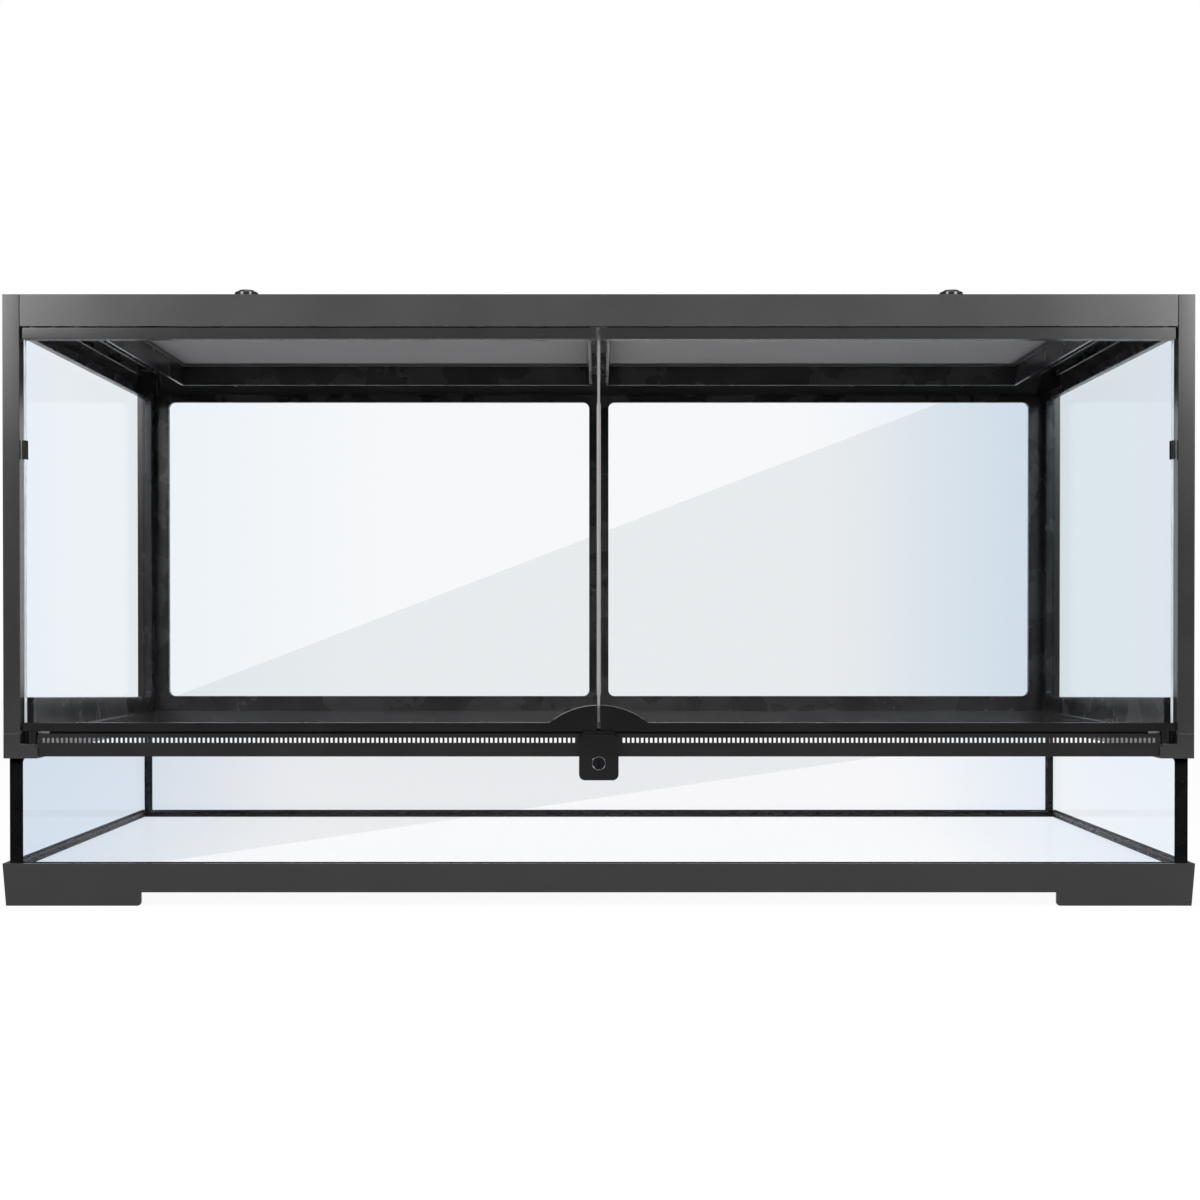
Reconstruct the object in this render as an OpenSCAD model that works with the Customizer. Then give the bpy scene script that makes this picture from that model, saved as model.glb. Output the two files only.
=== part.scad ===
// Front-opening glass terrarium: a glued glass tank in a moulded base, a framed
// glass cage on top of it, two hinged doors over a slotted air strip, a key lock
// and two lift-out screens. The origin is on the floor, in the middle of the box
// that the whole object fills; +Z is up and the doors face -Y.

/* [Overall] */
// Width of the base
width = 1200; // [900:10:1500]
// Depth of the base
depth = 600; // [450:10:750]
// Height of the top frame above the floor
height = 615; // [520:5:700]
// Height at which the mid frame starts
ring_z = 150.5; // [120:0.5:190]
// Set-back of the cage from the faces of the base
cage_set = 1; // [0.5:0.5:3]

/* [Base] */
// Height of the rim of the base
base_h = 43; // [38:1:60]
// How far the base narrows on each side towards the floor
base_draft = 2.7; // [0:0.1:4]
// Height of the feet
foot_h = 13.6; // [8:0.2:16]
// Length of each foot along the front and back
foot_len = 139; // [90:1:200]
// Length of each foot along the sides
side_foot_len = 110; // [70:1:160]
// Radius on the inner lower corner of each foot
foot_r = 4; // [2:0.5:8]
// How far the sole of each foot ends short of its outer wall
sole_back = 12; // [6:1:30]
// Width of the hollow rail that makes the base
base_rail_w = 42; // [32:1:60]
// Thickness of the walls of the base
base_wall = 3.5; // [2.5:0.5:5]
// Thickness of the ledge that carries the floor pane
ledge_t = 4; // [3:0.5:6]
// Height of the rim of the base above the floor pane
rim_h = 4.5; // [3:0.5:8]
// Spacing of the cross ribs under the base
base_rib_pitch = 92; // [60:1:140]

/* [Tank glass] */
// Distance from the cage faces in to the tank panes
glass_inset = 5; // [4:0.5:8]
// Thickness of the four tank panes
pane_t = 5; // [4:0.5:6]
// Thickness of the floor pane
floor_t = 6; // [5:0.5:8]
// Leg of the sealant fillets up the corners
bead_w = 7; // [4:0.5:10]
// Leg of the sealant fillets along the floor
floor_bead_w = 5; // [3:0.5:8]
// Thickness of the sealant between the panes
film_t = 1; // [0.5:0.5:2]

/* [Mid frame] */
// Height of the mid frame and of the air strip
ring_h = 23; // [20:0.5:30]
// Depth of the channels that sit over the tank panes
channel_d = 7.5; // [5:0.5:8]
// Width of the corner brackets
bracket_w = 34.5; // [33:0.5:40]
// How far the brackets reach below the mid frame
bracket_drop = 1.9; // [0.5:0.1:4]
// Height of the bracket step under the door hinge
step_h = 14.6; // [13:0.1:16]
// Width of the small step of the bracket beside the air strip
small_step_w = 2.5; // [1.5:0.5:4]
// Drop of the small step of the bracket
small_step_h = 3.2; // [2:0.2:4]

/* [Air strip] */
// Width of one air slot
slot_w = 2.5; // [1.5:0.1:3]
// Spacing of the air slots
slot_pitch = 4.6; // [4:0.1:8]
// Height of the air slots
slot_h = 5; // [3:0.5:6]
// Distance from the top of the strip to the slots
slot_drop = 4.2; // [3.5:0.1:5]
// Bare length of the strip on each side of the middle
slot_clear = 23; // [21:1:40]
// Height of the rib behind the foot of the doors
rib_h = 5; // [3:0.5:7]
// Thickness of that rib
rib_t = 2.5; // [1.5:0.5:4]
// Distance of that rib from the ends of the air strip
rib_in = 8; // [7:0.5:30]
// Bevel on that rib's upper edges
rib_bevel = 0.6; // [0.2:0.1:0.7]

/* [Cage] */
// Thickness of the cage walls
wall_t = 24; // [20:1:30]
// Width of a front post seen from the front
post_w = 17; // [14:1:17]
// Thickness of the web at the back of the corner brackets
bracket_web = 6; // [3:0.5:6]
// Thickness of the wall of the hollow posts
post_wall = 2.5; // [1.5:0.5:3]
// Thickness of the window frames
panel_t = 14; // [10:0.5:16]
// Width of the upright bars of the window frames
stile_w = 18; // [12:1:30]
// Height of the lower bar of the window frames
sill_h = 19; // [12:1:30]
// Rise of the side sills towards the doors
sill_rise = 17; // [0:1:25]
// How far the side panes reach into the front posts
pane_lap = 4; // [2:0.5:6]
// Height of the upper bar of the window frames
head_h = 10; // [6:0.5:15]
// Width of the middle bar of the back frame
mullion_w = 25; // [16:1:40]
// Corner radius of the windows
window_r = 8; // [4:0.5:12]
// Thickness of the cage panes
cage_pane_t = 4; // [3:0.5:5]
// Depth of the rebate that holds each cage pane
rebate_d = 6; // [5:0.5:8]
// How far the cage panes lie behind their frames
rebate_w = 5; // [3:0.5:5]

/* [Top frame] */
// Height of the top frame
rail_h = 32; // [28:0.5:40]
// Wall thickness of the top frame
deck_t = 3; // [2:0.5:4]
// Width of the side bands beside the screens
side_band = 82; // [60:1:110]
// Width of the band in front of the screens
front_band = 36; // [36:1:50]
// Width of the band behind the screens
rear_band = 122; // [100:1:150]
// Width of the bar between the screens
crossbar_w = 23; // [20:1:40]
// Width of the lip that carries the screens
lip_w = 8; // [4:0.5:8]
// Height of the ribs under the bands
deck_rib_h = 16; // [8:1:20]
// Wall thickness of the bosses round the upper hinge pins
boss_wall = 3.5; // [2:0.5:3.5]

/* [Screens] */
// Height of the screen frames
screen_h = 9; // [7:0.5:12]
// Width of the bars of the screen frames
screen_bar_w = 10; // [9:0.5:16]
// Gap around each screen in its seat
screen_gap = 0.5; // [0.3:0.1:1.5]
// Thickness of the screen net
net_t = 1; // [0.8:0.1:1.5]
// Width of the wires of the net
wire_w = 1.4; // [1:0.1:3]
// Number of gaps across each net
net_columns = 14; // [6:1:16]
// Number of gaps along each net
net_rows = 10; // [5:1:12]

/* [Screen knobs] */
// Distance of the knobs from the outer end of the screens
knob_in = 168; // [125:1:270]
// Radius of the knobs
knob_r = 11.75; // [11:0.25:12.5]
// Height of the knobs above the deck
knob_h = 6.5; // [6:0.5:9]
// Distance from the knob's middle to its flat side
knob_flat = 8.2; // [7:0.1:8.2]
// Gap between the knob's flat side and the seat of the screen
knob_gap = 0.8; // [0.5:0.1:1.5]
// Height of the knob's rim
knob_rim_h = 4.6; // [2:0.1:4.9]
// Width of the ledge on the knob's rim
knob_ledge_w = 3; // [1.5:0.1:4]
// Bevel on the edges of the knob
knob_bevel = 0.7; // [0.3:0.1:1]
// Radius of the knob's stem
knob_stem_r = 4; // [3:0.25:4.5]
// How far the snap foot of the stem reaches under the deck
snap_w = 1.2; // [0.5:0.1:1.2]

/* [Cable inlets] */
// Distance from the side of the cage to the middle of each inlet
inlet_in = 169; // [149:1:269]
// Length of each inlet
inlet_len = 64; // [40:1:80]
// Width of each inlet
inlet_w = 26; // [18:1:34]
// Corner radius of the inlets
inlet_r = 4; // [2:0.5:8]
// Thickness of the shutters
shutter_t = 3; // [2:0.5:4]
// How far the shutters reach past the inlets
shutter_lap = 4; // [3:0.5:6]
// Length of the finger nub on each shutter
nub_len = 8; // [6:1:12]
// Gap between the nub and the end of its inlet
nub_gap = 0.5; // [0.3:0.1:1]
// Thickness of the guides that hold the shutters
guide_t = 2; // [1.5:0.5:3]
// How far the guides reach under the shutters
guide_lip = 3; // [2:0.5:3]
// Room between the shutters and the ribs beside them
rib_room = 6; // [3:1:10]

/* [Doors] */
// Distance from the side of the cage to the hinge axis
hinge_in = 28; // [27.5:0.1:28.5]
// Distance from the front of the cage to the hinge axis
hinge_back = 7; // [7:0.1:7.2]
// Gap between a door and its post
door_side_gap = 2.5; // [2.3:0.1:3]
// Gap between the two doors
door_gap = 3; // [2:0.5:5]
// Rounding of the door seal
seal_r = 0.4; // [0.2:0.1:0.6]
// Gap between the door seal and the right door
seal_gap = 0.4; // [0.3:0.1:1]
// Thickness of the door seal
seal_t = 3; // [2:0.5:4]
// Gap between the doors and the air strip
door_sill_gap = 2.5; // [1.5:0.1:3]
// Gap between the doors and the top frame
door_head_gap = 1.2; // [0.8:0.1:2]
// Thickness of the door panes
door_pane_t = 5; // [4:0.5:6]
// Thickness of the plastic strips on the doors
strip_t = 12; // [10:0.5:12]
// Height of the strip along the top of a door
top_strip_h = 11.8; // [10:0.2:16]
// Height of the strip along the foot of a door
foot_strip_h = 8.5; // [7:0.5:12]
// Depth of the groove that holds a door pane
groove_d = 5; // [3:0.5:5]
// Thickness of the foot strip under the door pane
foot_web = 3; // [2:0.5:4]
// Reach of the finger arch from the middle of the front
arch_w = 50; // [30:1:80]
// Rise of the finger arch above the strip
arch_rise = 18; // [8:1:28]
// Radius of the hinge barrels
barrel_r = 5.5; // [4.5:0.1:5.8]
// Radius of the hinge pins
pin_r = 2.5; // [2:0.1:3]
// Length of the part of each hinge pin that is held fast
pin_root = 4; // [3:0.5:4]
// Distance from the foot of the doors down to the end of the lower pin's bore
pin_web = 3; // [2:0.5:5]
// Length of the upper hinge pin inside the top frame
pin_top_root = 9; // [5:0.5:12]
// Running clearance round the hinge pins and the key cylinder
run_gap = 0.06; // [0.02:0.01:0.1]
// Height of the spacer clip on the hinge edge of a pane
clip_h = 19; // [10:1:30]
// Distance from the top of the doors to the spacer clip
clip_drop = 113; // [60:1:200]
// Wall thickness of the spacer clip
clip_t = 1; // [0.6:0.1:1.2]
// How far the spacer clip reaches over the pane
clip_reach = 3.5; // [2:0.5:6]

/* [Lock] */
// Width of the lock body
lock_w = 39.6; // [36:0.2:42]
// Depth of the lock body in front of the air strip
lock_d = 14; // [14:0.5:20]
// Height of the lock body below the top of the strip
lock_drop = 46; // [42:0.5:52]
// Width of the lock's neck
neck_w = 32; // [30:0.5:34]
// Corner radius of the lock body
lock_r = 6; // [3:0.5:8]
// Distance from the top of the strip down to the top of the lock body
shoulder_drop = 1; // [0.5:0.5:3]
// Height of the small round on the shoulders of the lock body
shoulder_r = 1.5; // [0.5:0.5:3]
// Thickness of the neck in front of the bolt
neck_wall = 3; // [2:0.5:3]
// Distance from the top of the strip down to the key cylinder
key_drop = 29; // [27:0.5:31]
// Radius of the key cylinder
key_r = 7.4; // [7:0.1:8]
// Depth of the key cylinder's face inside the lock body
key_recess = 1.2; // [0.5:0.1:2]
// Width of the key slot
key_slot_w = 1.8; // [1:0.1:2.5]
// Length of the key slot
key_slot_len = 9; // [6:0.5:11]
// Depth of the key slot
key_slot_d = 5; // [2:0.5:5]
// Travel of the bolt
bolt_travel = 8; // [5:0.5:8]
// Thickness of the bolt
bolt_t = 4; // [3:0.5:4]
// How much narrower the bolt is than the neck
bolt_inset = 4; // [3:0.5:8]
// Distance from the air strip to the bolt
bolt_set = 1.7; // [1.2:0.1:2]
// Length of the bolt below the crank pin
bolt_foot = 5; // [3:0.5:5]
// Radius of the crank pin that lifts the bolt
crank_r = 1.5; // [1.2:0.1:1.6]

/* [Hidden] */
$fn = 48;

// Overlap that makes a cut run past the face it starts on.
past = 1;
// Gap between mouldings and the panes that slide into them.
fit_gap = 0.3;
// Room on each side of a sheet in its groove, and behind the bolt.
groove_gap = 0.1;
// What keeps the ends of a slot apart where its round corners meet.
hair = 0.01;
// Visible joint between the top frame and the posts.
seam = 0.5;

// Colours, as the photograph shows them.
plastic = [0.17, 0.17, 0.18];
dark_plastic = [0.11, 0.11, 0.12];
sealant = [0.05, 0.045, 0.05];
clear_glass = [0.84, 0.91, 0.95, 0.35];
steel = [0.7, 0.7, 0.72];
net_grey = [0.33, 0.33, 0.34];

// Faces of the base and the cage. The lock stands proud of the front, so the
// base lies half of that distance behind the middle of the whole box.
air_strip_set = 2;
lock_proud = lock_d - air_strip_set - cage_set;
front = (lock_proud - depth) / 2;
back = front + depth;
side_x = width / 2;
cage_x = side_x - cage_set;
cage_front = front + cage_set;
cage_back = back - cage_set;

// Tank panes.
glass_x = cage_x - glass_inset;
glass_front = cage_front + glass_inset;
glass_back = cage_back - glass_inset;
ledge_z = base_h - rim_h - floor_t;
floor_z = ledge_z + floor_t;
tank_top = ring_z + channel_d;

// Levels of the cage.
ring_top = ring_z + ring_h;
rail_z = height - rail_h;
inner_x = cage_x - wall_t;
inner_front = cage_front + wall_t;
inner_back = cage_back - wall_t;
window_z0 = ring_top + sill_h;
window_z1 = rail_z - head_h;
side_pane_x = inner_x + panel_t - rebate_d;

// Air strip, measured back from the front of the cage.
strip_wall = glass_inset - fit_gap - air_strip_set;
channel_0 = glass_inset - fit_gap;
channel_1 = glass_inset + pane_t + fit_gap;
strip_front = cage_front + air_strip_set;
strip_end = cage_x - bracket_w;
strip_back = cage_front + strip_t + post_wall;
slot_z = ring_top - slot_drop - slot_h;

// Doors.
door_z0 = ring_top + door_sill_gap;
door_z1 = rail_z - door_head_gap;
door_edge = cage_x - post_w - door_side_gap;
door_front = cage_front + hinge_back - strip_t / 2;
hinge_x = cage_x - hinge_in;
hinge_y = cage_front + hinge_back;
pane_z0 = door_z0 + foot_web;
pane_z1 = door_z1 - top_strip_h + groove_d;
step_z = ring_z - bracket_drop + step_h;
barrel_z = step_z + fit_gap;
pin_tip_z = door_z0 - pin_web;

// Screens and their seats.
seat_x0 = crossbar_w / 2 - lip_w;
seat_x1 = cage_x - side_band + lip_w;
seat_y0 = cage_front + front_band - lip_w;
seat_y1 = cage_back - rear_band + lip_w;
seat_z = height - screen_h;
deck_z = height - deck_t;
knob_x = seat_x1 - knob_in;
knob_y = seat_y0 - knob_flat - knob_gap;
inlet_x = cage_x - inlet_in;
inlet_y = (seat_y1 + deck_t + cage_back - deck_t) / 2;
shutter_z = deck_z - fit_gap - shutter_t;
shutter_half = inlet_len / 2 + shutter_lap;
shutter_travel = inlet_len - nub_len;

// Lock, measured from the front face of its body.
lock_front = strip_front - lock_d;
key_z = ring_top - key_drop;
neck_top = door_z0 - fit_gap;
bolt_rest_top = neck_top - fit_gap;
bolt_back = strip_front - bolt_set;
bolt_front = bolt_back - bolt_t;
crank_arm = bolt_travel / (2 * sin(45));
pin_z = key_z - crank_arm * sin(45);
bolt_w = neck_w - bolt_inset;

// Box between two opposite corners.
module block(lo, hi) {
    translate(lo) cube(hi - lo);
}

// Outline in X and Z, extruded from y0 to y1.
module along_y(y0, y1) {
    translate([0, y1, 0]) rotate([90, 0, 0]) linear_extrude(y1 - y0) children();
}

// Outline in Y and Z, extruded from x0 to x1.
module along_x(x0, x1) {
    translate([x0, 0, 0]) rotate([90, 0, 90]) linear_extrude(x1 - x0) children();
}

// Convex outline with round corners. The list holds the centres of the corner
// circles, anticlockwise.
module round_outline(centres, r) {
    n = len(centres);
    for (c = centres) translate(c) circle(r);
    polygon([for (i = [0 : n - 1])
        let (a = centres[i], b = centres[(i + 1) % n], d = (b - a) / norm(b - a))
        each [a + r * [d[1], -d[0]], b + r * [d[1], -d[0]]]]);
}

// Rectangle with round corners.
module round_rect(lo, hi, r) {
    round_outline([lo + [r, r], [hi[0] - r, lo[1] + r], hi - [r, r], [lo[0] + r, hi[1] - r]], r);
}

// Mirrors a left-hand piece to the right.
module right_hand() {
    mirror([1, 0, 0]) children();
}

// Both hands of a left-hand shape.
module both_hands() {
    children();
    right_hand() children();
}

// Base: front view of one rail with its two feet. The foot's inner lower corner
// is round, and the ends lean in towards the floor.
module base_outline(lo, hi, foot) {
    difference() {
        polygon([[lo + base_draft, 0], [hi - base_draft, 0], [hi, base_h], [lo, base_h]]);
        translate([lo + foot, -past]) square([hi - lo - 2 * foot, foot_h + past]);
        for (end = [0, 1]) {
            x = end == 0 ? lo + foot : hi - foot;
            way = end == 0 ? -1 : 1;
            difference() {
                translate([x + (way < 0 ? -foot_r : 0), -past]) square([foot_r, foot_r + past]);
                translate([x + way * foot_r, foot_r]) circle(foot_r);
            }
        }
    }
}

// Hollow under the rail of the base, less its cross ribs and the soles.
module base_hollow() {
    inset = base_draft + base_wall;
    difference() {
        block([-side_x + inset, front + inset, -past],
              [side_x - inset, back - inset, ledge_z - ledge_t]);
        // Inner wall of the rail, and all that lies inside it
        block([-side_x + base_rail_w - base_wall, front + base_rail_w - base_wall, -2 * past],
              [side_x - base_rail_w + base_wall, back - base_rail_w + base_wall, base_h]);
        // Soles of the four feet
        for (x = [-side_x, side_x - foot_len], y = [front, back - side_foot_len])
            translate([x, y, 0]) cube([foot_len, side_foot_len, base_wall]);
        // Cross ribs
        long_ribs = floor((width - 2 * base_rail_w) / base_rib_pitch);
        short_ribs = floor((depth - 2 * base_rail_w) / base_rib_pitch);
        for (i = [0 : long_ribs])
            translate([(i - long_ribs / 2) * base_rib_pitch - base_wall / 2, front, -2 * past])
                cube([base_wall, depth, base_h]);
        for (i = [0 : short_ribs])
            translate([-side_x, (front + back) / 2 + (i - short_ribs / 2) * base_rib_pitch
                - base_wall / 2, -2 * past])
                cube([width, base_wall, base_h]);
    }
}

module base_frame() {
    color(plastic) difference() {
        intersection() {
            along_y(front, back) base_outline(-side_x, side_x, foot_len);
            along_x(-side_x, side_x) base_outline(front, back, side_foot_len);
        }
        base_hollow();
        // Opening inside the rail
        block([-side_x + base_rail_w, front + base_rail_w, -past],
              [side_x - base_rail_w, back - base_rail_w, base_h + past]);
        // Pocket for the tank
        block([-glass_x - fit_gap, glass_front - fit_gap, ledge_z],
              [glass_x + fit_gap, glass_back + fit_gap, base_h + past]);
        // Ends of the feet, where only their outer wall runs on
        wall = base_draft + base_wall;
        block([-side_x + foot_len - sole_back, front + wall, -past],
              [side_x - foot_len + sole_back, back - wall, foot_h]);
        block([-side_x + wall, front + side_foot_len - sole_back, -past],
              [side_x - wall, back - side_foot_len + sole_back, foot_h]);
    }
}

module floor_glass() {
    color(clear_glass) block([-glass_x, glass_front, ledge_z], [glass_x, glass_back, floor_z]);
}

module tank_front_glass() {
    color(clear_glass)
        block([-glass_x, glass_front, floor_z], [glass_x, glass_front + pane_t, tank_top]);
}

module tank_back_glass() {
    color(clear_glass)
        block([-glass_x, glass_back - pane_t, floor_z], [glass_x, glass_back, tank_top]);
}

module tank_left_glass() {
    color(clear_glass)
        block([-glass_x, glass_front + pane_t + film_t, floor_z],
              [-glass_x + pane_t, glass_back - pane_t - film_t, tank_top]);
}

module tank_right_glass() {
    right_hand() tank_left_glass();
}

// Section of a sealant fillet in the corner at the origin.
module bead(leg) {
    difference() {
        square(leg);
        translate([leg, leg]) circle(leg);
    }
}

// Sealant of the left front corner, from its place beside the front pane.
module corner_seal(top) {
    inside = glass_front + pane_t;
    // Film between the panes
    block([-glass_x, inside, floor_z], [-glass_x + pane_t, inside + film_t, tank_top]);
    // Fillet up the corner
    translate([-glass_x + pane_t, inside, floor_z]) linear_extrude(top - floor_z) bead(bead_w);
    // Web that spreads under the bracket
    along_y(inside, inside + film_t)
        translate([-glass_x + pane_t + bead_w, top]) mirror([0, 1]) bead(foot_r);
}

module tank_seals() {
    middle = (front + back) / 2;
    long = 2 * (glass_x - pane_t);
    color(sealant) {
        both_hands() {
            corner_seal(ring_z - bracket_drop);
            translate([0, 2 * middle, 0]) mirror([0, 1, 0]) corner_seal(ring_z);
            // Fillet along the side of the floor
            along_y(glass_front + pane_t, glass_back - pane_t)
                translate([-glass_x + pane_t, floor_z]) bead(floor_bead_w);
        }
        // Fillets along the front and back of the floor
        along_x(-long / 2, long / 2) {
            translate([glass_front + pane_t, floor_z]) bead(floor_bead_w);
            translate([glass_back - pane_t, floor_z]) mirror([1, 0]) bead(floor_bead_w);
        }
    }
}

// Band between two insets from the cage faces, along the sides and the back.
module u_band(inset_0, inset_1, z0, z1) {
    difference() {
        block([-cage_x + inset_0, inner_front, z0], [cage_x - inset_0, cage_back - inset_0, z1]);
        block([-cage_x + inset_1, inner_front - past, z0 - past],
              [cage_x - inset_1, cage_back - inset_1, z1 + past]);
    }
}

// Mid frame: a channel over the edge of the tank, with a hollow inner flange.
module mid_frame() {
    web = post_wall;
    color(plastic) {
        u_band(0, channel_0, ring_z, ring_top);
        u_band(0, channel_1 + web, tank_top, ring_top);
        u_band(channel_1, channel_1 + web, ring_z, ring_top);
        u_band(channel_1, wall_t, ring_top - deck_t, ring_top);
        u_band(wall_t - web, wall_t, ring_z, ring_top);
    }
}

// Air strip: channel for the front pane below, row of slots above it.
module vent_strip() {
    web = post_wall;
    slots = floor((strip_end - slot_clear) / slot_pitch);
    color(dark_plastic) difference() {
        along_x(-strip_end, strip_end) translate([cage_front, 0]) polygon([
            [air_strip_set, ring_z], [channel_0, ring_z], [channel_0, tank_top],
            [channel_1, tank_top], [channel_1, ring_z], [channel_1 + web, ring_z],
            [channel_1 + web, tank_top + web], [channel_0, tank_top + web],
            [channel_0, ring_top - web], [strip_t + web, ring_top - web],
            [strip_t + web, ring_top], [air_strip_set, ring_top]]);
        for (side = [-1, 1], i = [0 : slots - 1])
            translate([side * (slot_clear + (i + 0.5) * slot_pitch) - slot_w / 2,
                       strip_front - past, slot_z])
                cube([slot_w, strip_wall + 2 * past, slot_h]);
    }
}

// Rib behind the foot of the doors. It shuts the gap under them.
module sill_rib() {
    top = ring_top + rib_h;
    color(dark_plastic) along_x(-strip_end + rib_in, strip_end - rib_in)
        translate([strip_back, 0]) polygon([
            [0, ring_top - post_wall], [rib_t, ring_top - post_wall], [rib_t, top - rib_bevel],
            [rib_t - rib_bevel, top], [rib_bevel, top], [0, top - rib_bevel]]);
}

// Corner bracket: closes the end of the air strip, carries the post and the
// lower hinge pin, and steps down under the door.
module left_bracket() {
    bottom = ring_z - bracket_drop;
    inner = -cage_x + bracket_w;
    color(plastic) difference() {
        block([-cage_x, cage_front, bottom], [inner, inner_front, ring_top]);
        // Step under the hinge
        block([-cage_x + post_w, cage_front - past, step_z],
              [inner + past, inner_front - bracket_web, ring_top + past]);
        // Small step beside the air strip
        block([inner - small_step_w, cage_front - past, step_z - small_step_h],
              [inner + past, strip_front, step_z + past]);
        // Channels over the front pane and the side pane
        block([-cage_x + channel_0, cage_front + channel_0, bottom - past],
              [inner + past, cage_front + channel_1, tank_top]);
        block([-cage_x + channel_0, cage_front + channel_0, bottom - past],
              [-cage_x + channel_1, inner_front + past, tank_top]);
        // Hollow behind the channels
        block([-cage_x + channel_1 + post_wall, cage_front + channel_1 + post_wall, bottom - past],
              [inner - post_wall, inner_front - post_wall, tank_top]);
        // Seat of the hinge pin
        translate([-hinge_x, hinge_y, step_z - pin_root]) cylinder(h = pin_root + past, r = pin_r);
    }
}

module right_bracket() {
    right_hand() left_bracket();
}

// Front post: a hollow upright with a groove for the side pane.
module front_left_post() {
    color(plastic) difference() {
        block([-cage_x, cage_front, ring_top], [-cage_x + post_w, inner_front, height]);
        block([-cage_x + post_wall, cage_front + post_wall, ring_top - past],
              [-cage_x + post_w - post_wall, inner_front - post_wall, height - deck_t]);
        block([-side_pane_x - cage_pane_t - groove_gap, inner_front - pane_lap - groove_gap,
               window_z0 - rebate_w],
              [-side_pane_x + groove_gap, inner_front + past, window_z1 + rebate_w]);
    }
}

module front_right_post() {
    right_hand() front_left_post();
}

// Rear post: a square hollow upright.
module rear_left_post() {
    color(plastic) difference() {
        block([-cage_x, inner_back, ring_top], [-inner_x, cage_back, height]);
        block([-cage_x + post_wall, inner_back + post_wall, ring_top - past],
              [-inner_x - post_wall, cage_back - post_wall, height - deck_t]);
    }
}

module rear_right_post() {
    right_hand() rear_left_post();
}

// Window of a side frame, in Y and Z. It is open towards the front post, and its
// sill rises towards the doors.
module side_window() {
    y0 = inner_front;
    y1 = inner_back - stile_w - window_r;
    round_outline([[y0, window_z0 + sill_rise + window_r], [y1, window_z0 + window_r],
                   [y1, window_z1 - window_r], [y0, window_z1 - window_r]], window_r);
}

module left_window_frame() {
    color(dark_plastic) difference() {
        along_x(-inner_x - panel_t, -inner_x) difference() {
            translate([inner_front, ring_top]) square([inner_back - inner_front, rail_z - ring_top]);
            side_window();
        }
        block([-inner_x - panel_t - past, inner_front - past, window_z0 - rebate_w],
              [-side_pane_x, inner_back - stile_w + rebate_w, window_z1 + rebate_w]);
    }
}

module right_window_frame() {
    right_hand() left_window_frame();
}

module left_window_glass() {
    lap = rebate_w - fit_gap;
    color(clear_glass)
        block([-side_pane_x - cage_pane_t, inner_front - pane_lap, window_z0 - lap],
              [-side_pane_x, inner_back - stile_w + lap, window_z1 + lap]);
}

module right_window_glass() {
    right_hand() left_window_glass();
}

// Back frame: two windows with a middle bar between them.
module back_window_frame() {
    color(dark_plastic) difference() {
        along_y(inner_back, inner_back + panel_t) difference() {
            translate([-inner_x, ring_top]) square([2 * inner_x, rail_z - ring_top]);
            both_hands()
                round_rect([-inner_x + stile_w, window_z0], [-mullion_w / 2, window_z1], window_r);
        }
        both_hands()
            block([-inner_x + stile_w - rebate_w, inner_back + panel_t - rebate_d, window_z0 - rebate_w],
                  [-mullion_w / 2 + rebate_w, inner_back + panel_t + past, window_z1 + rebate_w]);
    }
}

module back_left_glass() {
    lap = rebate_w - fit_gap;
    y = inner_back + panel_t - rebate_d;
    color(clear_glass)
        block([-inner_x + stile_w - lap, y, window_z0 - lap],
              [-mullion_w / 2 + lap, y + cage_pane_t, window_z1 + lap]);
}

module back_right_glass() {
    right_hand() back_left_glass();
}

// Plan of the top frame, drawn in from its edge. Its corners make room for the
// posts.
module top_plan(inset) {
    notch = seam + inset;
    difference() {
        translate([-cage_x + inset, cage_front + inset])
            square([2 * (cage_x - inset), cage_back - cage_front - 2 * inset]);
        both_hands() {
            translate([-cage_x - past, cage_front - past])
                square([post_w + notch + past, wall_t + notch + past]);
            translate([-cage_x - past, inner_back - notch])
                square([wall_t + notch + past, wall_t + notch + past]);
        }
    }
}

// Box round the left screen seat in plan, grown on all sides.
module seat_block(grow, z0, z1) {
    block([-seat_x1 - grow, seat_y0 - grow, z0], [-seat_x0 + grow, seat_y1 + grow, z1]);
}

// Ribs and bosses on the underside of the left half of the deck.
module deck_ribs() {
    bottom = deck_z - deck_rib_h;
    // Long ribs under the side band
    for (part = [1, 2])
        translate([-cage_x + part * (side_band - lip_w) / 3, inner_front, bottom])
            cube([deck_t, seat_y1 - inner_front, deck_rib_h]);
    // Rib across the rear band, on each side of the inlet
    for (x = [inlet_x + shutter_half + rib_room + deck_t,
              inlet_x - shutter_half - shutter_travel - rib_room])
        block([-x, seat_y1, bottom], [-x + deck_t, cage_back - deck_t, deck_z]);
    // Guides that hold the shutter
    for (side = [0, 1]) {
        half = inlet_w / 2 + shutter_lap + fit_gap;
        x0 = -inlet_x - shutter_half;
        x1 = -inlet_x + shutter_half + shutter_travel;
        z0 = shutter_z - fit_gap - guide_t;
        translate([0, inlet_y, 0]) mirror([0, side, 0]) {
            block([x0, half, z0], [x1, half + guide_t, deck_z]);
            block([x0, half - guide_lip, z0], [x1, half + guide_t, z0 + guide_t]);
        }
    }
    // Boss over the hinge
    translate([-hinge_x, hinge_y, rail_z]) cylinder(h = pin_top_root + deck_t, r = pin_r + boss_wall);
}

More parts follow.
